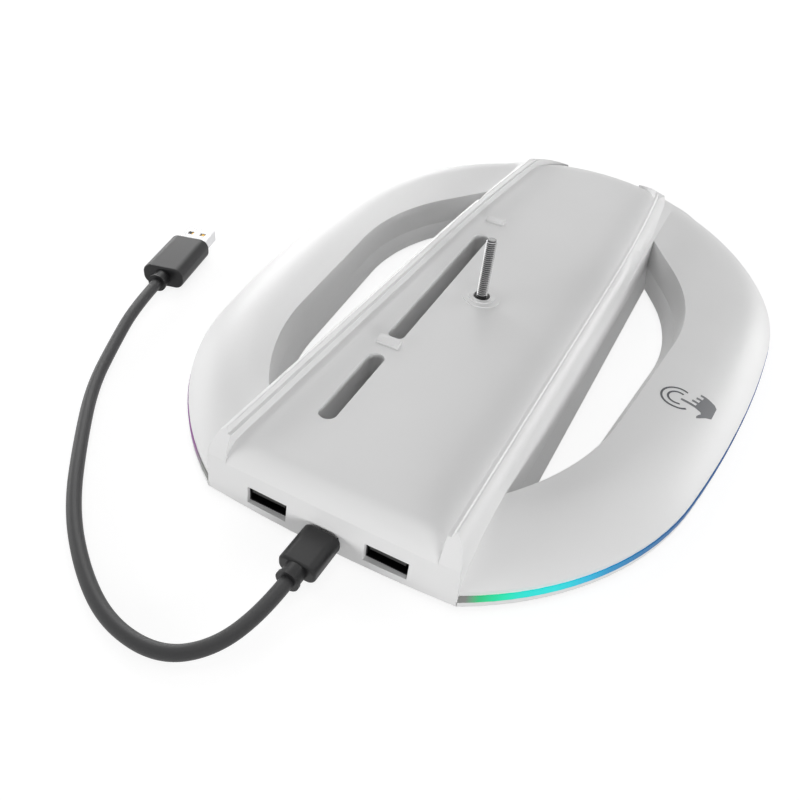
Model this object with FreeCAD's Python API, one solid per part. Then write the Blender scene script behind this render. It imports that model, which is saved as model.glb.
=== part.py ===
import FreeCAD, Part
import math
import os

from FreeCAD import Vector

# Vertical console stand: a white moulded housing with a railed platform between two ring wings,
# a base cover, light guides round the rim, a small hub board, a captive screw and a short lead.
# Lengths are millimetres. X runs to the right, Y to the back and Z up.
# Inside this file Y starts at the front corners and Z at the skirt's lower edge;
# save() moves every piece to the stand's own origin, below its middle on the ground.

# Plan outline, right half, as tangent arcs from the front corner to the middle of the back
front_width = 81.2
front_bow_depth = 1.7
nose_angle = 31.5
nose_radius = 105.0
flank_start_angle = 78.5
flank_radius = 500.0
tail_radius = 120.0
tail_end_angle = 150.0

# Heights above the skirt's lower edge
foot_height = 1.5
base_thickness = 1.7
guide_height = 2.5
rim_height = 5.8
front_edge_height = 12.7
deck_height = 15.8
platform_height = 18.2
ledge_height = 21.4
crest_height = 22.8

# Housing form
wall = 2.2
shoulder_run = 22.0
tail_run = 27.0
rail_fade_run = 33.0
rail_fade_low = 0.5
rim_set_in = 0.4
front_roll_run = 7.8
rail_inner = 33.5
rail_step = 34.6
crest_width = 0.4
crest_offset = 0.7
rail_band_rise = 0.6
rail_foot_width = 0.9
rail_foot_height = 2.8
rail_foot_spread = 2.0
rail_nose_height = 13.6
rail_nose_run = 4.0
rail_nose_rise = 0.5
rail_straight = 150.0
rail_lean_radius = 1445.0
rail_lean_run = 95.0
rail_hook_radius = 35.0
rail_hook_angle = 45.0

# Open gap in each wing: its edge at deck height, a steep wall, and a flange that slopes in to the skirt
gap_inner = 39.7
gap_front = 30.0
gap_nose_angle = 52.0
gap_nose_radius = 95.0
gap_side_angle = 84.0
gap_side_run = 56.7
gap_tail_radius = 85.0
gap_tail_angle = 121.0
gap_draft = 4.2
gap_flange_height = 5.2
gap_flange_inset = 1.1

# Slots and locating ribs in the platform, on one line that leans to the left
slot_lean_angle = 2.3
slot_x = -17.9
slot_width = 5.9
short_slot_front = 26.5
short_slot_length = 37.5
long_slot_front = 74.5
long_slot_length = 88.5
slot_sleeve = 1.6
rib_width = 8.0
rib_depth = 3.4
rib_height = 1.8
front_rib_y = 71.0
rear_rib_y = 177.5

# Captive fastening screw
screw_x = -4.8
screw_y = 116.5
screw_radius = 2.0
screw_waist_radius = 1.7
screw_stand = 24.4
screw_hole_radius = 3.15
screw_chamfer = 0.67
screw_head_radius = 8.0
screw_head_height = 3.5
screw_gap = 0.3
coin_slot_width = 1.8
coin_slot_depth = 1.6
coin_hole_radius = 6.5
well_clearance = 0.6
well_wall = 1.5
boss_radius = 7.1
boss_height = 0.5
boss_step_radius = 5.0
boss_step_height = 0.5

# Light guides and their strips of lamps
guide_set_back = 0.0
guide_depth = 3.0
guide_clearance = 0.1
guide_end_gap = 0.2
lamp_strip_thickness = 0.5
lamp_strip_height = 3.5
lamp_depth = 1.9
lamp_width = 3.2
lamp_height = 1.8
lamp_clearance = 0.05
lamps_per_arc = 3
lamp_strip_start_x = 47.0

# Hub board and its sockets
board_width = 68.0
board_front = 3.2
board_depth = 20.2
board_thickness = 1.2
board_stand = 1.5
board_clearance = 0.1
board_screw_edge = 3.8
port_x = 19.2
port_z = 5.2
port_width = 13.1
port_height = 5.7
port_length = 14.0
port_recess = 1.2
port_wall = 0.3
port_clearance = 0.1
port_tongue_width = 11.1
port_tongue_thickness = 1.9
port_tongue_length = 10.5
c_port_z = 4.0
c_port_width = 8.94
c_port_height = 3.2
c_port_length = 7.4
c_port_recess = 0.6
c_port_wall = 0.3
c_tongue_width = 6.6
c_tongue_thickness = 0.7
c_tongue_length = 5.0
c_tongue_room = 1.0
chip_size = 6.0
chip_height = 0.9
crystal_size = (5.0, 3.2, 1.2)
capacitor_size = (2.0, 1.2, 1.2)
chip_row_edge = 4.4
chip_x = 8.0
crystal_x = -1.0
capacitor_xs = (-14.0, -10.5, -7.0, 14.5, 18.0)
touch_foil_size = (16.0, 16.0)
touch_foil_thickness = 0.3

# Fasteners and feet
cover_screw_radius = 1.25
cover_screw_length = 7.0
cover_screw_head_radius = 2.6
cover_screw_head_height = 1.5
cover_screw_recess = 0.4
cover_cup_radius = 4.2
cover_cup_height = 1.5
thread_clearance = 0.05
head_clearance = 0.25
board_screw_radius = 1.0
board_screw_length = 2.4
board_screw_head_radius = 2.1
board_screw_head_height = 1.3
board_boss_radius = 3.0
foot_radius = 6.0
foot_recess = 0.6
foot_chamfer = 0.5

# Places on the right half of the outline's arcs: direction from the arc's centre, distance inside the outline
cover_screw_angles = [53.2, 85.4, 116.1, 152.2]
cover_screw_insets = [12.3, 18.2, 22.8, 30.1]
foot_angles = [42.7, 88.8, 143.8]
foot_insets = [10.3, 15.6, 16.2]
touch_angle = 82.3
touch_inset = 18.4

# Lead: small plug on the stand, round cord on the ground, large plug at its far end
c_plug_width = 8.24
c_plug_height = 2.4
c_plug_length = 6.6
c_plug_wall = 0.3
c_plug_corner = 1.1
c_mould_width = 11.6
c_mould_height = 6.4
c_mould_length = 13.4
c_mould_corner = 2.6
plug_gap = 0.2
grip_end_radius = 0.9
collar_radius = 3.2
collar_rim_radius = 3.55
collar_rim_length = 1.0
c_collar_length = 4.2
cord_radius = 2.1
a_mould_width = 16.5
a_mould_height = 8.6
a_mould_length = 27.0
a_mould_corner = 3.6
a_collar_length = 5.0
a_plug_width = 12.0
a_plug_height = 4.5
a_plug_length = 12.0
a_plug_wall = 0.35
a_plug_root = 2.0
a_latch_size = 2.2
a_latch_x = 2.6
a_latch_y = 4.2
a_tongue_width = 11.0
a_tongue_thickness = 1.8
a_contact_count = 4
a_contact_width = 1.1
a_contact_thickness = 0.15
a_contact_pitch = 2.3

# Middle line of the cord on the ground, counted from the end of the small plug's collar
cord_plan = [
    (0.0, 0.0), (0.0, -11.1), (-4.4, -24.5), (-14.7, -32.7), (-31.3, -31.3), (-47.9, -23.1),
    (-66.3, -8.7), (-83.9, 12.1), (-99.9, 33.3), (-110.1, 53.9), (-118.5, 73.9), (-123.5, 91.9)]
cord_sink = [4.4, 3.0, 2.3]
cord_rest = 2.2
cord_lift = 2.7
bend_share = 0.45

cut_margin = 1.0
dome_steps = 5


def along(angle):
    a = math.radians(angle)
    return Vector(math.cos(a), math.sin(a), 0)


def outward(angle):
    a = math.radians(angle)
    return Vector(math.sin(a), -math.cos(a), 0)


# The arcs of the outline: centre, radius, first and last direction
nose_centre = Vector(front_width / 2, 0, 0) - outward(nose_angle) * nose_radius
flank_centre = nose_centre + outward(flank_start_angle) * (nose_radius - flank_radius)
tail_centre = flank_centre + outward(90) * (flank_radius - tail_radius)
tail_point = tail_centre + outward(tail_end_angle) * tail_radius
cap_radius = tail_point.x / math.sin(math.radians(tail_end_angle))
cap_centre = tail_point - outward(tail_end_angle) * cap_radius
outline_arcs = [
    (nose_centre, nose_radius, nose_angle, flank_start_angle),
    (flank_centre, flank_radius, flank_start_angle, 90.0),
    (tail_centre, tail_radius, 90.0, tail_end_angle),
    (cap_centre, cap_radius, tail_end_angle, 180.0),
]
back_y = cap_centre.y + cap_radius
half_width = tail_centre.x + tail_radius
to_origin = Vector(0, (front_bow_depth - back_y) / 2, foot_height)
top_of_all = platform_height + screw_stand + cut_margin


def save(name, shape):
    moved = shape.copy()
    moved.translate(to_origin)
    moved.exportStep(f"parts/{name}.step")


def mirrored(shape):
    return shape.mirror(Vector(0, 0, 0), Vector(1, 0, 0))


def slab(x0, x1, y0, y1, z0, z1):
    return Part.makeBox(x1 - x0, y1 - y0, z1 - z0, Vector(x0, y0, z0))


def post(x, y, radius, z0, z1):
    return Part.makeCylinder(radius, z1 - z0, Vector(x, y, z0))


def arc_edge(centre, radius, first, last, z, side):
    points = []
    for angle in (first, (first + last) / 2, last):
        p = centre + outward(angle) * radius
        points.append(Vector(side * p.x, p.y, z))
    return Part.Arc(*points).toShape()


def outline_wire(inset, z):
    right = [arc_edge(c, r - inset, a, b, z, 1) for c, r, a, b in outline_arcs]
    left = [arc_edge(c, r - inset, b, a, z, -1) for c, r, a, b in reversed(outline_arcs)]
    start = nose_centre + outward(nose_angle) * (nose_radius - inset)
    front = Part.makeLine(Vector(-start.x, start.y, z), Vector(start.x, start.y, z))
    return Part.Wire(right + left + [front])


def outline_prism(inset, z0, z1):
    return Part.Face(outline_wire(inset, z0)).extrude(Vector(0, 0, z1 - z0))


def outline_band(inset, depth, z0, z1):
    return outline_prism(inset, z0, z1).cut(outline_prism(inset + depth, z0, z1))


# A rounded body on the outline: upright up to the rim, then one arc in section up to a flat top
def dome(top, run, rim, inset, bottom):
    rise = top - rim
    radius = (run * run + rise * rise) / (2 * rise)
    wires = []
    for step in range(dome_steps + 1):
        d = run * step / dome_steps
        z = top - radius + math.sqrt(radius * radius - (run - d) ** 2)
        wires.append(outline_wire(inset + d, z))
    return outline_prism(inset, bottom, rim).fuse(Part.makeLoft(wires, True, False))


# The same body with its front left open, to round off the back of something long
def back_rounder(top, run, rim, inset, bottom):
    front = slab(-half_width, half_width, -front_bow_depth - cut_margin, tail_centre.y, bottom, top)
    return dome(top, run, rim, inset, bottom).fuse(front)


def gap_wire(inset, z, side):
    centre = Vector(gap_inner, gap_front, 0) - outward(gap_nose_angle) * gap_nose_radius
    r_nose = gap_nose_radius - inset
    x0 = gap_inner + inset
    first = math.degrees(math.asin((x0 - centre.x) / r_nose))
    p0 = centre + outward(first) * r_nose
    p1 = centre + outward(gap_side_angle) * r_nose
    p2 = p1 + along(gap_side_angle) * gap_side_run
    r_tail = gap_tail_radius - inset
    tail = p2 - outward(gap_side_angle) * r_tail
    p3 = tail + outward(gap_tail_angle) * r_tail
    p4 = p3 + along(gap_tail_angle) * ((x0 - p3.x) / along(gap_tail_angle).x)
    flat = [Vector(side * p.x, p.y, z) for p in (p0, p1, p2, p3, p4)]
    edges = [
        arc_edge(centre, r_nose, first, gap_side_angle, z, side),
        Part.makeLine(flat[1], flat[2]),
        arc_edge(tail, r_tail, gap_side_angle, gap_tail_angle, z, side),
        Part.makeLine(flat[3], flat[4]),
        Part.makeLine(flat[4], flat[0]),
    ]
    return Part.Wire(edges)


# The open gap of one wing as a leaning plug, wider all round by a growth where a wall is kept
def gap_plug(side, growth, z0, z1):
    steep = gap_flange_inset / (deck_height - gap_flange_height)
    flat = (gap_draft - gap_flange_inset) / gap_flange_height
    wires = []
    for z in (z0, gap_flange_height, z1):
        inset = max(gap_flange_inset, gap_draft - flat * z)
        if z > gap_flange_height:
            inset = steep * (deck_height - z)
        wires.append(gap_wire(inset - growth, z, side))
    return Part.makeLoft(wires, True, True)


def upright_face(points):
    return Part.Face(Part.makePolygon([Vector(*p) for p in points + points[:1]]))


# Side profile of the middle body: upright front, a roll up to the platform, then level
def front_roll(inset, top, low):
    drop = platform_height - front_edge_height
    radius = (front_roll_run ** 2 + drop ** 2) / (2 * drop)
    start_y = inset
    start_z = top - radius + math.sqrt(radius * radius - (front_roll_run - start_y) ** 2)
    middle_y = (start_y + front_roll_run) / 2
    middle_z = top - radius + math.sqrt(radius * radius - (front_roll_run - middle_y) ** 2)
    x = -half_width
    start = Vector(x, start_y, start_z)
    flat = Vector(x, front_roll_run, top)
    corners = [flat, Vector(x, back_y, top), Vector(x, back_y, low), Vector(x, start_y, low), start]
    edges = [Part.Arc(start, Vector(x, middle_y, middle_z), flat).toShape()]
    edges += [Part.makeLine(a, b) for a, b in zip(corners, corners[1:])]
    return Part.Face(Part.Wire(edges)).extrude(Vector(2 * half_width, 0, 0))


def middle_body():
    foot = front_width / 2
    section = [(-foot, 0, 0), (foot, 0, 0), (gap_inner, 0, deck_height), (rail_step, 0, platform_height),
               (-rail_step, 0, platform_height), (-gap_inner, 0, deck_height)]
    body = upright_face(section).extrude(Vector(0, back_y, 0))
    body = body.common(front_roll(0, platform_height, 0))
    fall = (gap_inner - rail_step) / (platform_height - deck_height)
    spread = rail_step + fall * (platform_height - rim_height)
    wide = [(-spread, rail_straight, rim_height), (spread, rail_straight, rim_height),
            (rail_step, rail_straight, platform_height), (-rail_step, rail_straight, platform_height)]
    body = body.fuse(upright_face(wide).extrude(Vector(0, back_y - rail_straight, 0)))
    return body.common(back_rounder(platform_height, tail_run, rim_height, rim_set_in, 0))


# The front wall bows out towards its lower edge
def chin():
    foot = front_width / 2
    top = foot - (foot - gap_inner) * front_edge_height / deck_height
    bow = Part.Arc(Vector(-foot, 0, 0), Vector(0, -front_bow_depth, 0), Vector(foot, 0, 0)).toShape()
    low = [bow, Part.makeLine(Vector(foot, 0, 0), Vector(foot, wall, 0)),
           Part.makeLine(Vector(foot, wall, 0), Vector(-foot, wall, 0)),
           Part.makeLine(Vector(-foot, wall, 0), Vector(-foot, 0, 0))]
    corners = [Vector(-top, 0, front_edge_height), Vector(top, 0, front_edge_height),
               Vector(top, wall, front_edge_height), Vector(-top, wall, front_edge_height)]
    high = [Part.makeLine(a, b) for a, b in zip(corners, corners[1:] + corners[:1])]
    return Part.makeLoft([Part.Wire(low), Part.Wire(high)], True, True)


# Section of the right rail: inner ledge, thin crest, a rounded outer band and a steep foot below it
def rail_section(spread):
    crest_in = rail_step + crest_offset
    crest_out = crest_in + crest_width
    low = rim_height
    band = Vector(gap_inner - rail_foot_width, 0, deck_height + rail_foot_height)
    corners = [band] + [Vector(x, 0, z) for x, z in (
        (gap_inner, deck_height), (gap_inner + spread, low), (rail_inner, low), (rail_inner, ledge_height),
        (rail_step, ledge_height), (crest_in, crest_height), (crest_out, crest_height))]
    edges = [Part.makeLine(a, b) for a, b in zip(corners, corners[1:])]
    bulge = Vector(crest_height - band.z, 0, band.x - crest_out).normalize() * rail_band_rise
    edges.append(Part.Arc(corners[-1], (corners[-1] + band) * 0.5 + bulge, band).toShape())
    return Part.Face(Part.Wire(edges))


# The rail runs straight, leans in a little and then hooks inwards while it fades into the back
def rail():
    up = Vector(0, 0, 1)
    straight = rail_section(0).extrude(Vector(0, rail_straight, 0))
    section = rail_section(rail_foot_spread)
    section.translate(Vector(0, rail_straight, 0))
    lean_axis = Vector(rail_step - rail_lean_radius, rail_straight, 0)
    lean_angle = math.degrees(rail_lean_run / rail_lean_radius)
    lean = section.revolve(lean_axis, up, lean_angle)
    section.rotate(lean_axis, up, lean_angle)
    hook_axis = lean_axis + along(lean_angle) * (rail_lean_radius - rail_hook_radius)
    hook = section.revolve(hook_axis, up, rail_hook_angle)
    whole = straight.fuse([lean, hook])
    front = Vector(-half_width, 0, rail_nose_height)
    top = Vector(-half_width, rail_nose_run, crest_height)
    rise = Vector(0, front.z - top.z, top.y - front.y).normalize() * rail_nose_rise
    bend = (front + top) * 0.5 + rise
    corners = [top, Vector(-half_width, back_y, crest_height), Vector(-half_width, back_y, 0),
               Vector(-half_width, 0, 0), front]
    edges = [Part.Arc(front, bend, top).toShape()]
    edges += [Part.makeLine(a, b) for a, b in zip(corners, corners[1:])]
    nose = Part.Face(Part.Wire(edges)).extrude(Vector(2 * half_width, 0, 0))
    return whole.common(nose).common(back_rounder(crest_height, rail_fade_run, rail_fade_low, rim_set_in, 0))


# One slot of the leaning row, grown where its sleeve is wanted
def slot_prism(front, length, growth, z0, z1):
    radius = slot_width / 2
    ends = (front + radius, front + length - radius)
    shape = slab(slot_x - radius - growth, slot_x + radius + growth, ends[0], ends[1], z0, z1)
    for y in ends:
        shape = shape.fuse(post(slot_x, y, radius + growth, z0, z1))
    shape = shape.removeSplitter()
    shape.rotate(Vector(slot_x, short_slot_front, 0), Vector(0, 0, 1), slot_lean_angle)
    return shape


def both_slots(growth, z0, z1):
    short = slot_prism(short_slot_front, short_slot_length, growth, z0, z1)
    return [short, slot_prism(long_slot_front, long_slot_length, growth, z0, z1)]


def locating_rib(y):
    top = platform_height + rib_height
    low = platform_height - cut_margin
    x = slot_x - rib_width / 2
    profile = [(x, y - rib_depth / 2, low), (x, y - rib_depth / 2, platform_height + rib_height / 2),
               (x, y, top), (x, y + rib_depth / 2, top), (x, y + rib_depth / 2, low)]
    rib = upright_face(profile).extrude(Vector(rib_width, 0, 0))
    rib.rotate(Vector(slot_x, short_slot_front, 0), Vector(0, 0, 1), slot_lean_angle)
    return rib


def inside_outline(arc, angle, inset):
    centre, radius = arc[:2]
    p = centre + outward(angle) * (radius - inset)
    return p.x, p.y


cover_screw_rows = zip(outline_arcs, cover_screw_angles, cover_screw_insets)
cover_screw_places = [inside_outline(*row) for row in cover_screw_rows]
cover_screw_places += [(-x, y) for x, y in cover_screw_places]
foot_places = {}
for row, arc, angle, inset in zip(("front", "side", "rear"), outline_arcs, foot_angles, foot_insets):
    foot_x, foot_y = inside_outline(arc, angle, inset)
    foot_places[f"foot_{row}_right"] = (foot_x, foot_y)
    foot_places[f"foot_{row}_left"] = (-foot_x, foot_y)
cup_top = base_thickness + cover_cup_height
board_top = base_thickness + board_stand + board_thickness
board_screw_x = board_width / 2 - board_screw_edge
board_screw_rows = (board_front + board_screw_edge, board_front + board_depth - board_screw_edge)
board_screw_places = [(x, y) for x in (-board_screw_x, board_screw_x) for y in board_screw_rows]
chip_row_y = board_front + board_depth - chip_row_edge
head_low = base_thickness + screw_gap
head_top = head_low + screw_head_height
guide_low = base_thickness
guide_top = guide_low + guide_height


# Hollow of the housing: under the wings, under the platform, less sleeves, bosses and gap walls
def hollow():
    skin_depth = rim_set_in + wall
    under_deck = dome(deck_height - wall, shoulder_run, rim_height - wall, skin_depth, -cut_margin)
    half = gap_inner - wall
    ceiling = platform_height - wall
    eaves = deck_height - 2 * wall
    section = [(-half, 0, -cut_margin), (half, 0, -cut_margin), (half, 0, eaves),
               (rail_inner - wall, 0, ceiling), (wall - rail_inner, 0, ceiling), (-half, 0, eaves)]
    bay = upright_face(section).extrude(Vector(0, back_y, 0))
    bay = bay.common(front_roll(wall, ceiling, -cut_margin))
    bay = bay.common(back_rounder(ceiling, tail_run, rim_height - wall, skin_depth, -cut_margin))
    kept = [gap_plug(side, wall, -cut_margin, deck_height) for side in (1, -1)]
    kept += both_slots(slot_sleeve, base_thickness + screw_gap, platform_height)
    kept.append(post(screw_x, screw_y, boss_radius, head_top + screw_gap, platform_height))
    boss = cover_cup_radius
    kept += [post(x, y, boss, cup_top, platform_height) for x, y in cover_screw_places]
    return under_deck.fuse(bay).cut(kept)


# Room for the base cover: the whole outline, behind the front wall
def base_room(clearance):
    front_wall = slab(-front_width / 2 + wall, front_width / 2 - wall, -front_bow_depth - cut_margin,
                      wall + clearance, -cut_margin, base_thickness + cut_margin)
    nose = slab(-front_width / 2, front_width / 2, -front_bow_depth - cut_margin, clearance,
                -cut_margin, base_thickness + cut_margin)
    return outline_prism(0, 0, base_thickness).cut([front_wall, nose])


# The wings' part of a band that follows the outline, from the front corner to the middle of the back
def wing_band(inset, depth, z0, z1, start_x):
    cut = slab(-start_x, start_x, -front_bow_depth - cut_margin, gap_front, z0 - cut_margin, z1 + cut_margin)
    return outline_band(inset, depth, z0, z1).cut(cut)


def one_side(band, end_gap):
    keep = slab(end_gap, 2 * half_width, -cut_margin, 2 * back_y, -cut_margin, top_of_all)
    return band.common(keep)


def socket_opening(x, z, width, height, clearance):
    return slab(x - width / 2 - clearance, x + width / 2 + clearance, -front_bow_depth - cut_margin,
                wall + cut_margin, z - height / 2 - clearance, z + height / 2 + clearance)


def upper_housing():
    skin = dome(deck_height, shoulder_run, rim_height, rim_set_in, 0)
    right_rail = rail()
    shape = skin.fuse([middle_body(), chin(), right_rail, mirrored(right_rail)])
    shape = shape.cut(hollow())
    ring_low = platform_height - cut_margin
    ring_top = platform_height + boss_height
    shape = shape.fuse([
        locating_rib(front_rib_y), locating_rib(rear_rib_y),
        post(screw_x, screw_y, boss_radius, ring_low, ring_top),
        post(screw_x, screw_y, boss_step_radius, ring_low, ring_top + boss_step_height)])
    cuts = [gap_plug(side, 0, -cut_margin, deck_height + cut_margin) for side in (1, -1)]
    cuts += both_slots(0, -cut_margin, platform_height + cut_margin)
    cuts.append(post(screw_x, screw_y, screw_hole_radius, 0, top_of_all))
    pilot = cover_screw_radius + thread_clearance
    tip = cup_top + cover_screw_length
    cuts += [post(x, y, pilot, 0, tip) for x, y in cover_screw_places]
    cuts += [socket_opening(x, port_z, port_width, port_height, port_clearance) for x in (-port_x, port_x)]
    cuts.append(socket_opening(0, c_port_z, c_port_width, c_port_height, port_clearance))
    cuts.append(base_room(0))
    guide_room = guide_set_back + guide_depth + guide_clearance
    cuts.append(wing_band(0, guide_room, 0, guide_top, front_width / 2))
    return shape.cut(cuts)


def base_cover():
    plate = base_room(guide_end_gap)
    floor_top = base_thickness
    well_inner = screw_head_radius + well_clearance
    well = post(screw_x, screw_y, well_inner + well_wall, 0, head_top)
    cups = [post(x, y, cover_cup_radius, 0, cup_top) for x, y in cover_screw_places]
    bosses = [post(x, y, board_boss_radius, 0, floor_top + board_stand) for x, y in board_screw_places]
    shape = plate.fuse([well] + cups + bosses)
    cuts = [gap_plug(side, 0, -cut_margin, deck_height) for side in (1, -1)]
    cuts.append(post(screw_x, screw_y, well_inner, floor_top, head_top + cut_margin))
    cuts.append(post(screw_x, screw_y, coin_hole_radius, -cut_margin, floor_top + cut_margin))
    head_room = cover_screw_head_radius + head_clearance
    head_end = cover_screw_recess + cover_screw_head_height
    for x, y in cover_screw_places:
        cuts.append(post(x, y, cover_screw_radius + head_clearance, -cut_margin, cup_top + cut_margin))
        cuts.append(post(x, y, head_room, -cut_margin, head_end))
    tip = board_top - board_screw_length
    cuts += [post(x, y, board_screw_radius + thread_clearance, tip, board_top) for x, y in board_screw_places]
    cuts += [post(x, y, foot_radius, -cut_margin, foot_recess) for x, y in foot_places.values()]
    return shape.cut(cuts)


# A round rubber foot with a bevelled lower edge
def foot(x, y):
    pad = post(x, y, foot_radius, foot_chamfer - foot_height, foot_recess)
    low = Part.makeCone(foot_radius - foot_chamfer, foot_radius, foot_chamfer, Vector(x, y, -foot_height))
    return pad.fuse(low)


# The lamps of one side stand behind the guide, an even number of degrees apart on each arc
def lamp_group():
    near = guide_set_back + guide_depth + lamp_clearance
    depth = lamp_depth - 2 * lamp_clearance
    lamps = []
    for centre, radius, first, last in outline_arcs[:3]:
        for step in range(lamps_per_arc):
            angle = first + (last - first) * (step + 0.5) / lamps_per_arc
            middle = centre + outward(angle) * (radius - near - depth / 2)
            lamp = slab(-lamp_width / 2, lamp_width / 2, -depth / 2, depth / 2,
                        guide_low, guide_low + lamp_height)
            lamp.rotate(Vector(0, 0, 0), Vector(0, 0, 1), angle)
            lamp.translate(middle)
            lamps.append(lamp)
    return Part.makeCompound(lamps)


def lamp_strip():
    inset = guide_set_back + guide_depth + lamp_depth
    top = base_thickness + lamp_strip_height
    band = wing_band(inset, lamp_strip_thickness, base_thickness, top, lamp_strip_start_x)
    return one_side(band, cover_cup_radius)


def main_board():
    low = base_thickness + board_stand
    board = slab(-board_width / 2, board_width / 2, board_front, board_front + board_depth, low, board_top)
    rooms = [(x, port_width, port_end()) for x in (-port_x, port_x)] + [(0, c_port_width, c_port_end())]
    cuts = []
    for x, width, end in rooms:
        half = width / 2 + board_clearance
        cuts.append(slab(x - half, x + half, -cut_margin, end + board_clearance, 0, board_top + cut_margin))
    hole = board_screw_radius + thread_clearance
    cuts += [post(x, y, hole, 0, board_top + cut_margin) for x, y in board_screw_places]
    return board.cut(cuts)


# How far the bowed front wall stands out at a place on it
def face_y(x, z):
    bow = 1 - (2 * x / front_width) ** 2
    return -front_bow_depth * bow * (1 - z / front_edge_height)


def port_start():
    return face_y(port_x, port_z) + port_recess


def port_end():
    return port_start() + port_length


def c_port_start():
    return face_y(0, c_port_z) + c_port_recess


def c_port_end():
    return c_port_start() + c_port_length


# A socket's folded metal shell: open in front, closed behind
def socket_shell(x, z, width, height, start, length, thickness):
    outer = slab(x - width / 2, x + width / 2, start, start + length, z - height / 2, z + height / 2)
    inner = slab(x - width / 2 + thickness, x + width / 2 - thickness, start - cut_margin,
                 start + length - thickness, z - height / 2 + thickness, z + height / 2 - thickness)
    return outer.cut(inner)


def port_tongue(x):
    back = port_end() - port_wall
    top = port_z + port_height / 2 - port_wall
    block_depth = port_length - port_wall - port_tongue_length
    wide = port_width - 2 * port_wall
    low = port_z - port_height / 2 + port_wall
    block = slab(x - wide / 2, x + wide / 2, back - block_depth, back, low, top)
    blade_low = port_z + port_height / 2 - port_wall - port_tongue_thickness
    half = port_tongue_width / 2
    blade = slab(x - half, x + half, back - block_depth - port_tongue_length, back - block_depth,
                 blade_low, blade_low + port_tongue_thickness)
    return block.fuse(blade).removeSplitter()


def c_tongue():
    back = c_port_end() - c_port_wall
    root = c_port_length - c_port_wall - c_tongue_length - c_tongue_room
    wide = c_port_width - 2 * c_port_wall
    tall = c_port_height - 2 * c_port_wall
    block = slab(-wide / 2, wide / 2, back - root, back, c_port_z - tall / 2, c_port_z + tall / 2)
    blade = slab(-c_tongue_width / 2, c_tongue_width / 2, back - root - c_tongue_length, back - root,
                 c_port_z - c_tongue_thickness / 2, c_port_z + c_tongue_thickness / 2)
    return block.fuse(blade).removeSplitter()


def on_board(x, y, size):
    wide, deep, tall = size
    return slab(x - wide / 2, x + wide / 2, y - deep / 2, y + deep / 2, board_top, board_top + tall)


def touch_foil():
    wide, deep = touch_foil_size
    touch_x, touch_y = inside_outline(outline_arcs[1], touch_angle, touch_inset)
    patch = slab(touch_x - wide / 2, touch_x + wide / 2, touch_y - deep / 2, touch_y + deep / 2,
                 0, deck_height)
    upper = dome(deck_height - wall, shoulder_run, rim_height - wall, rim_set_in + wall, 0)
    upper.translate(Vector(0, 0, -lamp_clearance))
    lower = upper.copy()
    lower.translate(Vector(0, 0, -touch_foil_thickness))
    return upper.cut(lower).common(patch)


def fastening_screw():
    tip = platform_height + screw_stand
    thread_low = platform_height + boss_height + boss_step_height
    points = [(0, head_low), (screw_head_radius, head_low), (screw_head_radius, head_top),
              (screw_waist_radius, head_top), (screw_waist_radius, thread_low), (screw_radius, thread_low),
              (screw_radius, tip - screw_chamfer), (screw_radius - screw_chamfer, tip), (0, tip)]
    profile = upright_face([(x, 0, z) for x, z in points])
    shape = profile.revolve(Vector(0, 0, 0), Vector(0, 0, 1), 360)
    slot = slab(-screw_head_radius, screw_head_radius, -coin_slot_width / 2, coin_slot_width / 2,
                0, head_low + coin_slot_depth)
    shape = shape.cut(slot)
    shape.translate(Vector(screw_x, screw_y, 0))
    return shape


def cover_screws():
    screws = []
    head_end = cover_screw_recess + cover_screw_head_height
    for x, y in cover_screw_places:
        head = post(x, y, cover_screw_head_radius, cover_screw_recess, head_end)
        screws.append(head.fuse(post(x, y, cover_screw_radius, head_end, cup_top + cover_screw_length)))
    return Part.makeCompound(screws)


def board_screws():
    screws = []
    for x, y in board_screw_places:
        head = post(x, y, board_screw_head_radius, board_top, board_top + board_screw_head_height)
        screws.append(head.fuse(post(x, y, board_screw_radius, board_top - board_screw_length, board_top)))
    return Part.makeCompound(screws)


def rounded_bar(width, height, length, corner):
    bar = slab(-width / 2, width / 2, -length, 0, -height / 2, height / 2)
    long_edges = [e for e in bar.Edges if abs(e.BoundBox.YLength - length) < 1e-6]
    return bar.makeFillet(corner, long_edges)


# Moulded plug grip with a round collar and its rim, along -Y from the plug's root at the origin
def plug_grip(width, height, length, corner, collar_length):
    grip = rounded_bar(width, height, length, corner)
    ends = [e for e in grip.Edges if e.BoundBox.YLength < 1e-6]
    grip = grip.makeFillet(grip_end_radius, ends)
    back = Vector(0, -1, 0)
    collar = Part.makeCylinder(collar_radius, collar_length, Vector(0, -length, 0), back)
    rim_start = Vector(0, collar_rim_length - length - collar_length, 0)
    rim = Part.makeCylinder(collar_rim_radius, collar_rim_length, rim_start, back)
    return grip.fuse([collar, rim])


def hollow_bar(width, height, length, thickness, corner):
    outer = rounded_bar(width, height, length, corner)
    inner_length = length + 2 * cut_margin
    inner = rounded_bar(width - 2 * thickness, height - 2 * thickness, inner_length, corner - thickness)
    inner.translate(Vector(0, cut_margin, 0))
    return outer.cut(inner)


c_plug_root = Vector(0, face_y(0, c_port_z) - plug_gap, c_port_z)


def c_plug_shell():
    shell = hollow_bar(c_plug_width, c_plug_height, c_plug_length, c_plug_wall, c_plug_corner)
    shell.translate(c_plug_root + Vector(0, c_plug_length, 0))
    return shell


def c_overmould():
    grip = plug_grip(c_mould_width, c_mould_height, c_mould_length, c_mould_corner, c_collar_length)
    grip.translate(c_plug_root)
    return grip


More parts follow.
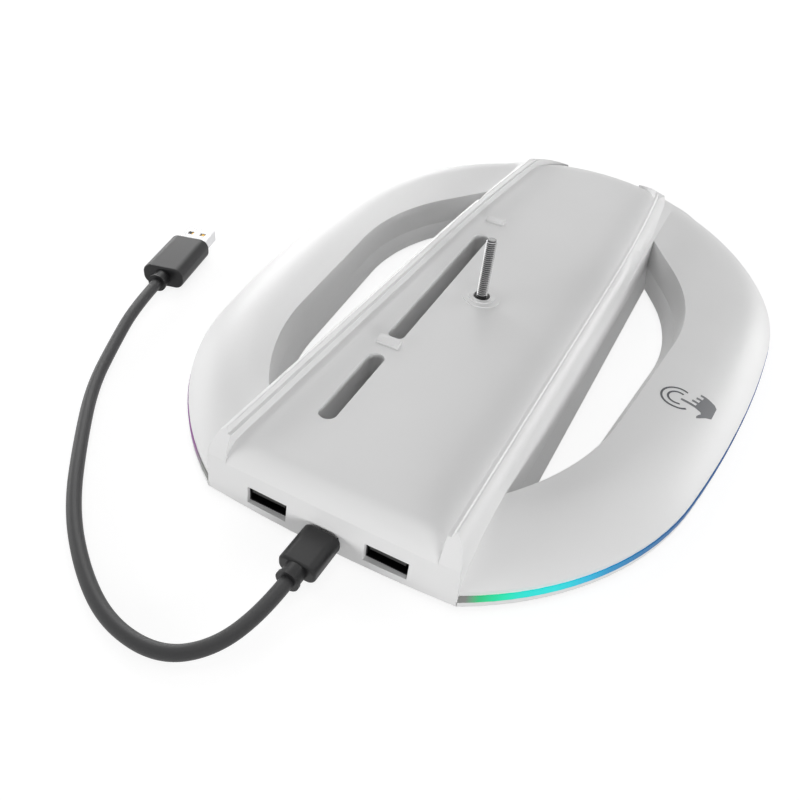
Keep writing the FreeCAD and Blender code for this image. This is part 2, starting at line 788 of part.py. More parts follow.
# The cord's corner points in the stand's own frame: level out of the small plug, down to the ground,
# along it, and up again to the middle of the large plug
collar_end = c_plug_root + to_origin - Vector(0, c_mould_length + c_collar_length, 0)
cord_heights = [collar_end.z] * 2 + cord_sink
cord_heights += [cord_rest] * (len(cord_plan) - len(cord_heights) - 3)
cord_heights += [cord_lift] + [a_mould_height / 2] * 2
cord_route = [Vector(x, collar_end.y + y, z) for (x, y), z in zip(cord_plan, cord_heights)]


# The large plug lies on the ground where the cord ends, in line with the cord's last run
def at_cord_end(shape):
    last = cord_route[-1] - cord_route[-2]
    turn = math.degrees(math.atan2(last.y, last.x)) - 90
    shape.rotate(Vector(0, 0, 0), Vector(0, 0, 1), turn)
    shape.translate(Vector(cord_route[-1].x, cord_route[-1].y, a_mould_height / 2) - to_origin)
    return shape


def a_overmould():
    grip = plug_grip(a_mould_width, a_mould_height, a_mould_length, a_mould_corner, a_collar_length)
    socket = slab(-a_plug_width / 2, a_plug_width / 2, -a_plug_root, cut_margin,
                  -a_plug_height / 2, a_plug_height / 2)
    grip = grip.cut(socket)
    grip.translate(Vector(0, a_collar_length + a_mould_length, 0))
    return at_cord_end(grip)


def a_plug_place(shape):
    shape.translate(Vector(0, a_collar_length + a_mould_length + a_plug_length, 0))
    return at_cord_end(shape)


def a_plug_shell():
    length = a_plug_length + a_plug_root
    outer = slab(-a_plug_width / 2, a_plug_width / 2, -length, 0, -a_plug_height / 2, a_plug_height / 2)
    half = a_plug_width / 2 - a_plug_wall
    tall = a_plug_height / 2 - a_plug_wall
    cuts = [slab(-half, half, -length - cut_margin, cut_margin, -tall, tall)]
    for x in (-a_latch_x, a_latch_x):
        cuts.append(slab(x - a_latch_size / 2, x + a_latch_size / 2, -a_latch_y - a_latch_size, -a_latch_y,
                         -a_plug_height, a_plug_height))
    return a_plug_place(outer.cut(cuts))


def a_plug_tongue():
    low = -a_plug_height / 2 + a_plug_wall
    length = a_plug_length + a_plug_root
    half = a_tongue_width / 2
    blade = slab(-half, half, -length, -a_plug_wall, low, low + a_tongue_thickness)
    return a_plug_place(blade)


def a_plug_contacts():
    low = -a_plug_height / 2 + a_plug_wall + a_tongue_thickness
    strips = []
    for number in range(a_contact_count):
        x = (number - (a_contact_count - 1) / 2) * a_contact_pitch
        strips.append(slab(x - a_contact_width / 2, x + a_contact_width / 2, -a_plug_length, -2 * a_plug_wall,
                           low, low + a_contact_thickness))
    return a_plug_place(Part.makeCompound(strips))


# The cord's tube: straight runs joined by the largest tangent arcs that they leave room for
def cord():
    edges = []
    radii = []
    at = cord_route[0]
    for before, corner, after in zip(cord_route, cord_route[1:], cord_route[2:]):
        back = before - corner
        ahead = after - corner
        half_turn = (math.pi - back.getAngle(ahead)) / 2
        reach = bend_share * min(back.Length, ahead.Length)
        radii.append(reach / math.tan(half_turn))
        back.normalize()
        ahead.normalize()
        into = corner + back * reach
        out = corner + ahead * reach
        inward = (back + ahead).normalize()
        middle = corner + inward * (radii[-1] / math.cos(half_turn) - radii[-1])
        edges.append(Part.makeLine(at, into))
        edges.append(Part.Arc(into, middle, out).toShape())
        at = out
    edges.append(Part.makeLine(at, cord_route[-1]))
    path = Part.Wire(edges)
    start = cord_route[1] - cord_route[0]
    ring = Part.Wire(Part.makeCircle(cord_radius, cord_route[0], start))
    tube = path.makePipeShell([ring], True, False)
    print("cord radii", [round(r, 1) for r in radii])
    ratio = tube.Volume / (math.pi * cord_radius ** 2 * path.Length)
    print("cord length", round(path.Length, 1), "volume ratio", round(ratio, 4))
    print("cord's lowest point", round(tube.BoundBox.ZMin, 2))
    tube.translate(to_origin * -1)
    return tube


os.makedirs("parts", exist_ok=True)

print("stand", round(2 * half_width, 2), "by", round(back_y + front_bow_depth, 2), "origin shift", to_origin)
print("cord route", [tuple(round(v, 1) for v in p) for p in cord_route])

save("upper_housing", upper_housing())
save("base_cover", base_cover())

guide_band = wing_band(guide_set_back, guide_depth, guide_low, guide_top, front_width / 2 + guide_end_gap)
guide = one_side(guide_band, guide_end_gap)
save("light_guide_right", guide)
save("light_guide_left", mirrored(guide))
strip = lamp_strip()
save("lamp_strip_right", strip)
save("lamp_strip_left", mirrored(strip))
lamps = lamp_group()
save("lamps_right", lamps)
save("lamps_left", mirrored(lamps))
save("touch_foil", touch_foil())

save("main_board", main_board())
save("board_screws", board_screws())
save("hub_chip", on_board(chip_x, chip_row_y, (chip_size, chip_size, chip_height)))
save("crystal", on_board(crystal_x, chip_row_y, crystal_size))
capacitors = [on_board(x, chip_row_y, capacitor_size) for x in capacitor_xs]
save("capacitors", Part.makeCompound(capacitors))
for side, x in (("left", -port_x), ("right", port_x)):
    shell = socket_shell(x, port_z, port_width, port_height, port_start(), port_length, port_wall)
    save(f"usb_a_port_{side}", shell)
    save(f"usb_a_tongue_{side}", port_tongue(x))
c_shell = socket_shell(0, c_port_z, c_port_width, c_port_height, c_port_start(), c_port_length, c_port_wall)
save("usb_c_port", c_shell)
save("usb_c_tongue", c_tongue())

save("fastening_screw", fastening_screw())
save("cover_screws", cover_screws())
for name, place in foot_places.items():
    save(name, foot(*place))

save("usb_c_plug_shell", c_plug_shell())
save("usb_c_overmould", c_overmould())
save("cord", cord())
save("usb_a_overmould", a_overmould())
save("usb_a_plug_shell", a_plug_shell())
save("usb_a_plug_tongue", a_plug_tongue())
save("usb_a_plug_contacts", a_plug_contacts())
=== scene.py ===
# %% [markdown]
# # A console stand, dressed for its picture
# The imported model gives every piece its place and size. This lesson adds what a drawing leaves
# out: moulded plastic, a lit rim, a screw thread, a printed touch mark, a limp lead and soft light.
# The frame is loaded first.

# %% Load the frame
import math

import bpy
from mathutils import Matrix, Vector


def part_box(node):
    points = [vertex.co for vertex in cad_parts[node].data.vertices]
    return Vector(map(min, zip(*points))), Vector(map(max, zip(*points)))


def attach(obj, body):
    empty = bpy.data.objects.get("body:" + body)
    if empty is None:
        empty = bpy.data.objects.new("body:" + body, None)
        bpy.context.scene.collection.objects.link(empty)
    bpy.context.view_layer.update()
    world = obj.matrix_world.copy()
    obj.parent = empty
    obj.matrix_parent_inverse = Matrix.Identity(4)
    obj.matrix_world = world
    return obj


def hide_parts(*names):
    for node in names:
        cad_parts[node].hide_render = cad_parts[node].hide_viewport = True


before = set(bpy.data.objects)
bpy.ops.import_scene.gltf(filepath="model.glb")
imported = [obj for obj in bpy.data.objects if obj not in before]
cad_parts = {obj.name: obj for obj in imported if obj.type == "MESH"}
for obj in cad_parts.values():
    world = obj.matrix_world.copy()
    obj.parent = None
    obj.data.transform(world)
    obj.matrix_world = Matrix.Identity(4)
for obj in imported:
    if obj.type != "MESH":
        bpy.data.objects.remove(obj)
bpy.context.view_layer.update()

MM = 0.001

# %% [markdown]
# ## The camera
# The picture was taken close above the front right corner, with the camera rolled a little. Its
# place, aim, roll and focal length come from fitting straight edges of the stand, so they are
# written down as numbers. Blender looks along the camera's own -Z, and its X runs to the right.

# %% Place the camera
azimuth, elevation, roll = (math.radians(a) for a in (23.2786, 39.8708, -6.8869))
camera_place = Vector((69.072, -260.460, 171.336)) * MM
camera_lens, camera_sensor = 34.432, 36.0
level = math.cos(elevation)
aim = Vector((-math.sin(azimuth) * level, math.cos(azimuth) * level, -math.sin(elevation)))
level_right = aim.cross(Vector((0, 0, 1))).normalized()
level_down = aim.cross(level_right)
right = level_right * math.cos(roll) + level_down * math.sin(roll)
down = level_down * math.cos(roll) - level_right * math.sin(roll)
bpy.ops.object.camera_add(location=camera_place)
camera = bpy.context.object
camera.rotation_euler = Matrix((right, -down, -aim)).transposed().to_euler()
camera.data.sensor_width = camera_sensor
camera.data.lens = camera_lens
camera.data.clip_start = 0.01
bpy.context.scene.camera = camera
print("camera at", tuple(round(v, 4) for v in camera.location))

# %% [markdown]
# ## The lead
# A short round lead leaves the small plug, sinks to the ground and swings round to the left, where
# its large plug lies. A tube bent from arcs looks like wire, so the same points are the handles of
# one NURBS curve, which only leans towards them. Order 3 is set after the points exist. A handle's
# radius multiplies the bevel depth, and Blender counts it into the curve's box, so the handles carry
# the cord's real radius and the depth is one.

# %% Lay the cord
cord_radius = 2.1 * MM
cord_points = [
    (0.0, -159.4, 5.5), (0.0, -170.5, 5.5), (-4.4, -183.9, 4.4), (-14.7, -191.5, 3.0),
    (-31.3, -190.7, 2.3), (-47.9, -182.5, 2.2), (-66.3, -168.1, 2.2), (-83.9, -147.3, 2.2),
    (-99.9, -126.1, 2.2), (-110.1, -105.5, 2.7), (-118.5, -85.5, 4.3), (-123.5, -67.5, 4.3)]
cord_curve = bpy.data.curves.new("cord_jacket", "CURVE")
cord_curve.dimensions = "3D"
cord_spline = cord_curve.splines.new("NURBS")
cord_spline.points.add(len(cord_points) - 1)
for handle, place in zip(cord_spline.points, cord_points):
    handle.co = (*(v * MM for v in place), 1.0)
    handle.radius = cord_radius
cord_spline.order_u = 3
cord_spline.use_endpoint_u = True
cord_spline.resolution_u = 12
cord_curve.bevel_depth = 1.0
cord_curve.bevel_resolution = 6
cord_curve.use_fill_caps = True
cord_jacket = bpy.data.objects.new("cord_jacket", cord_curve)
bpy.context.scene.collection.objects.link(cord_jacket)
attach(cord_jacket, "stand")
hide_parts("cord")
print("cord handles", len(cord_points))

# %% [markdown]
# ## Tools for materials
# Colours are noted as the sRGB hex values that one reads off a screen, and one function turns them
# to the linear numbers that the shader wants. Another adds a node, sets it and links it, and one
# starts a material with the settings that are the same all over it.

# %% Colour and node helpers
def linear(hex_colour):
    channels = [int(hex_colour[i:i + 2], 16) / 255 for i in (0, 2, 4)]
    return (*[c / 12.92 if c <= 0.04045 else ((c + 0.055) / 1.055) ** 2.4 for c in channels], 1.0)


def socket_name(key):
    return key.replace("_", " ").title().replace("Ior", "IOR")


def put(tree, kind, links=(), **settings):
    node = tree.nodes.new(kind)
    for key, value in settings.items():
        if hasattr(node, key):
            setattr(node, key, value)
        else:
            node.inputs[socket_name(key)].default_value = value
    for output, socket in links:
        tree.links.new(output, node.inputs[socket])
    return node


def start_material(name, **shader_settings):
    material = bpy.data.materials.new(name)
    material.use_nodes = True
    shader = material.node_tree.nodes["Principled BSDF"]
    for key, value in shader_settings.items():
        shader.inputs[socket_name(key)].default_value = value
    print("material", name)
    return material, material.node_tree, shader

# %% [markdown]
# ## White ABS, moulded with a satin grain
# The housing is white ABS from a finely eroded mould. The eye sees an even, soft white, slightly
# warm in the shade, with a grain that only breaks up the highlights. Grains are about 0.1 mm wide,
# too fine for the picture, so they are drawn 0.5 mm wide. A Bevel node rounds the crisp edges of
# the mould by a fifth of a millimetre, which gives the thin light lines along the rails.

# %% Make the white plastic
abs_white, tree, shader = start_material("moulded_white_abs", ior=1.53)
cloud_width, grain_width, edge_round = 60 * MM, 0.5 * MM, 0.2 * MM
place = put(tree, "ShaderNodeTexCoord")
cloud = put(tree, "ShaderNodeTexNoise", [(place.outputs["Object"], "Vector")], scale=1 / cloud_width,
            detail=2.0)
tone = put(tree, "ShaderNodeValToRGB", [(cloud.outputs["Fac"], "Fac")])
tone.color_ramp.elements[0].position = 0.3
tone.color_ramp.elements[0].color = linear("E3E3E3")
tone.color_ramp.elements[1].position = 0.7
tone.color_ramp.elements[1].color = linear("E8E8E8")
tree.links.new(tone.outputs["Color"], shader.inputs["Base Color"])
grain = put(tree, "ShaderNodeTexNoise", [(place.outputs["Object"], "Vector")], scale=1 / grain_width,
            detail=3.0)
gloss = put(tree, "ShaderNodeMapRange", [(grain.outputs["Fac"], "Value")])
gloss.inputs["To Min"].default_value = 0.36
gloss.inputs["To Max"].default_value = 0.48
tree.links.new(gloss.outputs["Result"], shader.inputs["Roughness"])
edge = put(tree, "ShaderNodeBevel", samples=6, radius=edge_round)
bump = put(tree, "ShaderNodeBump", [(grain.outputs["Fac"], "Height"), (edge.outputs["Normal"], "Normal")],
           strength=0.05, distance=0.05 * MM)
tree.links.new(bump.outputs["Normal"], shader.inputs["Normal"])

# %% [markdown]
# ## The lit rim
# Behind a frosted acrylic strip sit lamps of changing colour. From the front right corner the light
# runs from green over cyan to blue, on round the back to violet on the left. The first few
# millimetres at each front corner glow a plain grey, which is painted light: the dark strip there is
# unlit, and the emitted grey stands in for the light it reflects. The plan angle round the stand, read
# from Object coordinates, picks the colour, so the strip glows the same from every side.

# %% Make the frosted light guide
# The grey at the unlit ends is emitted: painted light in place of light the dark strip reflects.
grey_end_glow = linear("7D7E7B")
frost_width = 0.8 * MM
rim_glow, tree, shader = start_material(
    "frosted_acrylic_light_guide", base_color=linear("16181A"), roughness=0.45, ior=1.49,
    specular_ior_level=0.1, emission_strength=1.0)
place = put(tree, "ShaderNodeTexCoord")
split = put(tree, "ShaderNodeSeparateXYZ", [(place.outputs["Object"], "Vector")])
back = put(tree, "ShaderNodeMath", [(split.outputs["Y"], 0)], operation="MULTIPLY")
back.inputs[1].default_value = -1.0
bearing = put(tree, "ShaderNodeMath", [(split.outputs["X"], 0), (back.outputs["Value"], 1)],
              operation="ARCTAN2")
turns = put(tree, "ShaderNodeMath", [(bearing.outputs["Value"], 0)], operation="DIVIDE")
turns.inputs[1].default_value = 2 * math.pi
share = put(tree, "ShaderNodeMath", [(turns.outputs["Value"], 0)], operation="FRACT")
glow = put(tree, "ShaderNodeValToRGB", [(share.outputs["Value"], "Fac")])
ramp = glow.color_ramp
ramp.elements[0].position = 0.0475
ramp.elements[0].color = grey_end_glow
ramp.elements[1].position = 0.948
ramp.elements[1].color = grey_end_glow
rim_colours = [(0.051, "20C47C"), (0.057, "1EE2A8"), (0.064, "22DED4"), (0.075, "22DADA"), (0.085, "26B4DA"),
               (0.094, "1E8ABE"), (0.108, "1E6CA2"), (0.130, "1E568C"), (0.200, "224A80"), (0.350, "32409A"),
               (0.600, "623AA2"), (0.900, "885294"), (0.941, "8A5C8C")]
for position, colour in rim_colours:
    ramp.elements.new(position).color = linear(colour)
tree.links.new(glow.outputs["Color"], shader.inputs["Emission Color"])
frost = put(tree, "ShaderNodeTexNoise", [(place.outputs["Object"], "Vector")], scale=1 / frost_width,
            detail=2.0)
frost_bump = put(tree, "ShaderNodeBump", [(frost.outputs["Fac"], "Height")], strength=0.15, distance=0.05 * MM)
tree.links.new(frost_bump.outputs["Normal"], shader.inputs["Normal"])

# %% [markdown]
# ## Black PVC, rubber and moulded black plastic
# The lead's jacket and grips are soft black PVC: a dark, slightly broken sheen. The feet are matt
# rubber, and the sockets' inner parts a plain glass-filled plastic. They share one recipe with
# different tones, roughness and grain size, so one function makes them all. The grips come from an
# etched mould, which dulls their reflection.

# %% Make the black plastics
def dark_plastic(name, dark, light, rough, grain_mm, depth):
    material, tree, shader = start_material(name, roughness=rough, ior=1.52)
    place = put(tree, "ShaderNodeTexCoord")
    noise = put(tree, "ShaderNodeTexNoise", [(place.outputs["Object"], "Vector")], scale=1 / (grain_mm * MM),
                detail=3.0)
    tone = put(tree, "ShaderNodeValToRGB", [(noise.outputs["Fac"], "Fac")])
    tone.color_ramp.elements[0].color = linear(dark)
    tone.color_ramp.elements[1].color = linear(light)
    tree.links.new(tone.outputs["Color"], shader.inputs["Base Color"])
    bump = put(tree, "ShaderNodeBump", [(noise.outputs["Fac"], "Height")], strength=0.12, distance=depth * MM)
    tree.links.new(bump.outputs["Normal"], shader.inputs["Normal"])
    return material


pvc_black = dark_plastic("soft_black_pvc_jacket", "1E1E1F", "2B2B2C", 0.48, 0.4, 0.03)
grip_black = dark_plastic("moulded_black_pvc_grip", "151516", "1D1D1E", 0.42, 0.4, 0.03)
rubber_black = dark_plastic("black_foot_rubber", "1A1A1A", "262626", 0.75, 0.6, 0.06)
socket_black = dark_plastic("glass_filled_black_socket_plastic", "0B0B0B", "141414", 0.55, 0.3, 0.02)
chip_black = dark_plastic("black_chip_epoxy", "141415", "1F1F20", 0.6, 0.2, 0.02)
grip_black.node_tree.nodes["Principled BSDF"].inputs["Specular IOR Level"].default_value = 0.35

# %% [markdown]
# ## Metals
# Plug and socket shells are tin-bright nickel plate, drawn lengthwise through a die, so their grain
# is stretched along the plug. The socket shells get a darker copy of the nickel, painted shade for
# their place deep in the ports. The screws are zinc plated and a little cloudy. A metal keeps the
# default IOR, and its colour is its reflection.

# %% Make the metals
def plated_metal(name, dark, light, rough, stretch, grain_mm):
    material, tree, shader = start_material(name, metallic=1.0)
    place = put(tree, "ShaderNodeTexCoord")
    turn = put(tree, "ShaderNodeMapping", [(place.outputs["Object"], "Vector")])
    turn.inputs["Scale"].default_value = stretch
    noise = put(tree, "ShaderNodeTexNoise", [(turn.outputs["Vector"], "Vector")], scale=1 / (grain_mm * MM),
                detail=3.0)
    tone = put(tree, "ShaderNodeValToRGB", [(noise.outputs["Fac"], "Fac")])
    tone.color_ramp.elements[0].color = linear(dark)
    tone.color_ramp.elements[1].color = linear(light)
    tree.links.new(tone.outputs["Color"], shader.inputs["Base Color"])
    gloss = put(tree, "ShaderNodeMapRange", [(noise.outputs["Fac"], "Value")])
    gloss.inputs["To Min"].default_value = rough * 0.8
    gloss.inputs["To Max"].default_value = rough * 1.2
    tree.links.new(gloss.outputs["Result"], shader.inputs["Roughness"])
    return material


drawn, even = (1, 0.15, 1), (1, 1, 1)
nickel = plated_metal("bright_nickel_plate", "C9C9CB", "E2E2E3", 0.22, drawn, 0.3)
# The socket shells' darker nickel is painted shade.
socket_nickel = plated_metal("shaded_socket_nickel", "4A4A4C", "5E5E60", 0.4, drawn, 0.3)
zinc = plated_metal("clouded_zinc_plate", "9C9C9B", "B4B4B2", 0.34, even, 0.7)
copper = plated_metal("bare_copper_foil", "B4724C", "C98860", 0.35, even, 1.0)
gold = plated_metal("flashed_gold_contact", "C9A24E", "DDBB68", 0.25, even, 0.5)

# %% [markdown]
# ## Boards and lamps
# Inside are a green glass-fibre board, white coated strips and cast-resin lamps. They show only when
# the stand is opened, but each still gets its own finish, with the weave of the board 0.5 mm wide.

# %% Make the board finishes
def woven(name, dark, light, rough, weave_mm):
    material, tree, shader = start_material(name, roughness=rough, ior=1.55)
    place = put(tree, "ShaderNodeTexCoord")
    weave = put(tree, "ShaderNodeTexChecker", [(place.outputs["Object"], "Vector")], scale=1 / (weave_mm * MM))
    weave.inputs["Color1"].default_value = linear(dark)
    weave.inputs["Color2"].default_value = linear(light)
    tree.links.new(weave.outputs["Color"], shader.inputs["Base Color"])
    return material


board_green = woven("green_glass_fibre_board", "1E5A34", "216039", 0.35, 0.5)
strip_white = woven("white_coated_flexible_strip", "DAD8CE", "DEDCD3", 0.5, 0.5)
lamp_resin = woven("cast_lamp_resin", "E9E6C8", "EDEBD2", 0.2, 0.3)
ceramic = woven("fired_capacitor_ceramic", "A88B66", "AD906B", 0.45, 0.4)

# %% [markdown]
# ## Finishes for the CAD nodes
# A node whose shape is right keeps it and only gets its finish. The visible mouldings get a merged
# copy later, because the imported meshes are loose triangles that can't shade smoothly.

# %% Hand out the finishes
finish_of = {
    "lamp_strip_right": strip_white, "lamp_strip_left": strip_white, "lamps_right": lamp_resin,
    "lamps_left": lamp_resin, "touch_foil": copper, "main_board": board_green, "board_screws": zinc,
    "hub_chip": chip_black, "crystal": nickel, "capacitors": ceramic, "usb_a_port_left": socket_nickel,
    "usb_a_port_right": socket_nickel, "usb_a_tongue_left": socket_black, "usb_a_tongue_right": socket_black,
    "usb_c_port": socket_nickel, "usb_c_tongue": socket_black, "usb_c_plug_shell": nickel, "cover_screws": zinc,
    "usb_a_plug_shell": nickel, "usb_a_plug_tongue": socket_black, "usb_a_plug_contacts": gold}
for node, material in finish_of.items():
    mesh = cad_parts[node].data
    mesh.materials.clear()
    mesh.materials.append(material)
cord_curve.materials.append(pvc_black)
print("finished nodes", len(finish_of))

# %% [markdown]
# ## Smooth mouldings
# A copy of a node's mesh is merged at its seams and shaded smooth, except where two faces meet at
# more than a set angle. Long thin triangles would pull the shading towards them, so the Weighted
# Normal modifier lets the large faces decide. The front wall's upper edge and the feet of the rails'
# noses are blunt creases, marked sharp by their place. The copy then stands for its node.

# %% Copy and smooth the mouldings
weld_reach = 0.002 * MM
crease_reach = 0.02 * MM


def deselect():
    if bpy.context.object and bpy.context.object.mode != "OBJECT":
        bpy.ops.object.mode_set(mode="OBJECT")
    bpy.ops.object.select_all(action="DESELECT")


def take(piece):
    deselect()
    piece.select_set(True)
    bpy.context.view_layer.objects.active = piece


def smooth_copy(node, name, material, body="stand", angle=28.0, creases=()):
    piece = bpy.data.objects.new(name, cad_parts[node].data.copy())
    bpy.context.scene.collection.objects.link(piece)
    take(piece)
    bpy.ops.object.mode_set(mode="EDIT")
    bpy.ops.mesh.select_all(action="SELECT")
    bpy.ops.mesh.remove_doubles(threshold=weld_reach)
    bpy.ops.object.mode_set(mode="OBJECT")
    if piece.data.has_custom_normals:
        bpy.ops.mesh.customdata_custom_splitnormals_clear()
    bpy.ops.object.shade_smooth_by_angle(angle=math.radians(angle))
    spots = [vertex.co for vertex in piece.data.vertices]
    for edge in piece.data.edges:
        ends = [spots[number] for number in edge.vertices]
        for y, z in creases:
            if all(abs(p.y - y * MM) < crease_reach and abs(p.z - z * MM) < crease_reach for p in ends):
                edge.use_edge_sharp = True
    normals = piece.modifiers.new("even_normals", "WEIGHTED_NORMAL")
    normals.keep_sharp = True
    normals.weight = 80
    bpy.ops.object.modifier_apply(modifier="even_normals")
    piece.data.materials.clear()
    piece.data.materials.append(material)
    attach(piece, body)
    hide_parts(node)
    print("smoothed", name, len(piece.data.polygons), "faces")
    return piece


front_creases = [(-140.43, 14.2), (-140.43, 15.1)]
housing = smooth_copy("upper_housing", "housing_moulding", abs_white, angle=24.0, creases=front_creases)
cover = smooth_copy("base_cover", "cover_moulding", abs_white)
guides = [smooth_copy(f"light_guide_{side}", f"rim_guide_{side}", rim_glow) for side in ("right", "left")]
small_grip = smooth_copy("usb_c_overmould", "small_plug_grip", grip_black)
large_grip = smooth_copy("usb_a_overmould", "large_plug_grip", grip_black)
feet = [smooth_copy(f"foot_{place}_{side}", f"rubber_foot_{place}_{side}", rubber_black)
        for place in ("front", "side", "rear") for side in ("right", "left")]

# %% [markdown]
# ## The fastening screw
# The real screw is a fully threaded M4 stud with a wide coin-slot head under the platform. Head and
# waist come from the node, cut off where the thread starts. The thread is one zigzag of its section
# turned and lifted by the Screw modifier, 0.8 mm per turn so that the ridges still show.

# %% Take the head and waist
screw_low, screw_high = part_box("fastening_screw")
axis_x = (screw_low[0] + screw_high[0]) / 2
axis_y = (screw_low[1] + screw_high[1]) / 2
tip_height = 0.7 * MM
pitch = 0.8 * MM
crest_r, root_r = 2.0 * MM, 1.56 * MM
thread_low = 20.7 * MM
thread_turns = int((screw_high[2] - tip_height - thread_low) / pitch)
thread_length = thread_turns * pitch
cut_below = 0.05 * MM
screw_head = bpy.data.objects.new("screw_head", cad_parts["fastening_screw"].data.copy())
bpy.context.scene.collection.objects.link(screw_head)
take(screw_head)
bpy.ops.object.mode_set(mode="EDIT")
bpy.ops.mesh.select_all(action="SELECT")
bpy.ops.mesh.remove_doubles(threshold=weld_reach)
bpy.ops.mesh.select_all(action="SELECT")
bpy.ops.mesh.bisect(plane_co=(axis_x, axis_y, thread_low - cut_below), plane_no=(0, 0, 1), use_fill=True,
                    clear_outer=True)
bpy.ops.object.mode_set(mode="OBJECT")
bpy.ops.object.shade_smooth_by_angle(angle=math.radians(30))

# %% [markdown]
# The thread's roots are darkened with painted shade, and its ridges are lighter: the distance from the
# screw's axis, measured in Object coordinates with the height left out, mixes the two tones.

# %% Paint shade into the roots
thread_steel, tree, shader = start_material("thread_steel_with_painted_root_shade", metallic=1.0, roughness=0.36)
place = put(tree, "ShaderNodeTexCoord")
from_axis = put(tree, "ShaderNodeMapping", [(place.outputs["Object"], "Vector")])
from_axis.inputs["Location"].default_value = (-axis_x, -axis_y, 0)
from_axis.inputs["Scale"].default_value = (1, 1, 0)
reach = put(tree, "ShaderNodeVectorMath", [(from_axis.outputs["Vector"], 0)], operation="LENGTH")
depth = put(tree, "ShaderNodeMapRange", [(reach.outputs["Value"], "Value")])
depth.inputs["From Max"].default_value = crest_r
tone = put(tree, "ShaderNodeValToRGB", [(depth.outputs["Result"], "Fac")])
root_share = root_r / crest_r
tone.color_ramp.elements[0].position = 0.9 * root_share
tone.color_ramp.elements[0].color = linear("929292")
tone.color_ramp.elements[1].position = 0.98
tone.color_ramp.elements[1].color = linear("B4B4B4")
# The dark tone at the roots' radius is painted shade in the thread's hollows.
tone.color_ramp.elements.new(root_share + 0.02).color = linear("4A4A4C")
tree.links.new(tone.outputs["Color"], shader.inputs["Base Color"])

# %% [markdown]
# The zigzag starts as a circle of as many corners as the section has. The edge that closes it goes.

# %% Turn the thread
deselect()
zigzag = [(root_r, 0, 0), (crest_r, 0, 0.35 * pitch), (crest_r, 0, 0.5 * pitch), (root_r, 0, 0.85 * pitch),
          (root_r, 0, pitch)]
bpy.ops.mesh.primitive_circle_add(vertices=len(zigzag), radius=crest_r, fill_type="NOTHING")
thread = bpy.context.object
thread.name = "screw_thread"
mesh = thread.data
for vertex, spot in zip(mesh.vertices, zigzag):
    vertex.co = spot
bpy.ops.object.mode_set(mode="EDIT")
bpy.ops.mesh.select_mode(type="EDGE")
bpy.ops.mesh.select_all(action="DESELECT")
bpy.ops.object.mode_set(mode="OBJECT")
for link in mesh.edges:
    link.select = set(link.vertices) == {0, len(zigzag) - 1}
bpy.ops.object.mode_set(mode="EDIT")
bpy.ops.mesh.delete(type="EDGE")
bpy.ops.object.mode_set(mode="OBJECT")
turn = thread.modifiers.new("turn", "SCREW")
turn.axis = "Z"
turn.angle = 2 * math.pi
turn.screw_offset = pitch
turn.iterations = thread_turns
turn.steps = 32
turn.render_steps = 32
turn.use_merge_vertices = True
turn.merge_threshold = 0.001 * MM
take(thread)
bpy.ops.object.modifier_apply(modifier="turn")
print("thread faces", len(mesh.polygons), "turns", thread_turns)

# %% [markdown]
# The stud's core fills the thread and ends in a chamfered tip. It starts as a cylinder whose top
# face is inset and raised, and then all three meshes become one screw that rides on its own body.

# %% Close the stud
core_r, core_length = root_r + 0.02 * MM, thread_length + pitch
tip_share, tip_rim, tip_dip = 0.82, 0.25 * MM, 0.12 * MM
bpy.ops.mesh.primitive_cylinder_add(vertices=48, radius=core_r, depth=core_length,
                                    location=(0, 0, core_length / 2), end_fill_type="NGON")
core = bpy.context.object
bpy.ops.object.transform_apply(location=True, rotation=True, scale=True)
core_top = max(v.co.z for v in core.data.vertices)
for face in core.data.polygons:
    face.select = face.normal.z > 0.9
bpy.ops.object.mode_set(mode="EDIT")
bpy.ops.mesh.select_mode(type="FACE")
tip_rise = screw_high[2] - thread_low - core_top
bpy.ops.mesh.extrude_region_move(TRANSFORM_OT_translate={"value": (0, 0, tip_rise)})
bpy.ops.transform.resize(value=(tip_share, tip_share, 1.0))
bpy.ops.mesh.inset(thickness=tip_rim)
bpy.ops.transform.translate(value=(0, 0, -tip_dip))
bpy.ops.object.mode_set(mode="OBJECT")
thread.location = core.location = (axis_x, axis_y, thread_low)
for piece in (core, thread):
    take(piece)
    bpy.ops.object.transform_apply(location=True, rotation=True, scale=True)
    bpy.ops.object.shade_smooth_by_angle(angle=math.radians(24))
deselect()
for piece in (core, thread, screw_head):
    piece.select_set(True)
bpy.context.view_layer.objects.active = screw_head
bpy.ops.object.join()
screw_head.name = "threaded_screw"
screw_head.data.materials.clear()
screw_head.data.materials.append(thread_steel)
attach(screw_head, "screw")
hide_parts("fastening_screw")
print("screw faces", len(screw_head.data.polygons))

# %% [markdown]
# ## The touch mark
# A pad printer has put a sign for a touch button on the right wing: two open rings and a pointing
# hand. Ink has hardly any thickness, so the sign is cut flat, divided finely, dropped on the wing by
# a Shrinkwrap modifier and held a twentieth of a millimetre above it. The rings come first: a circle
# of edges, opened towards the hand, whose copy is scaled in.

# %% Print the rings
speckle_width = 0.25 * MM


def grey_ink(name, dark, light):
    material, tree, shader = start_material(name, roughness=0.6, ior=1.5)
    place = put(tree, "ShaderNodeTexCoord")
    speckle = put(tree, "ShaderNodeTexNoise", [(place.outputs["Object"], "Vector")], scale=1 / speckle_width,
                  detail=2.0)
    tone = put(tree, "ShaderNodeValToRGB", [(speckle.outputs["Fac"], "Fac")])
    tone.color_ramp.elements[0].color = linear(dark)
    tone.color_ramp.elements[1].color = linear(light)
    tree.links.new(tone.outputs["Color"], shader.inputs["Base Color"])
    return material


ring_ink = grey_ink("dark_grey_pad_print_ink", "46474B", "535458")
hand_ink = grey_ink("mid_grey_pad_print_ink", "6C6D70", "78797C")
mark_centre = Vector((72.9, -37.8, 0)) * MM
above_wing = 30 * MM
ink_height = 0.05 * MM


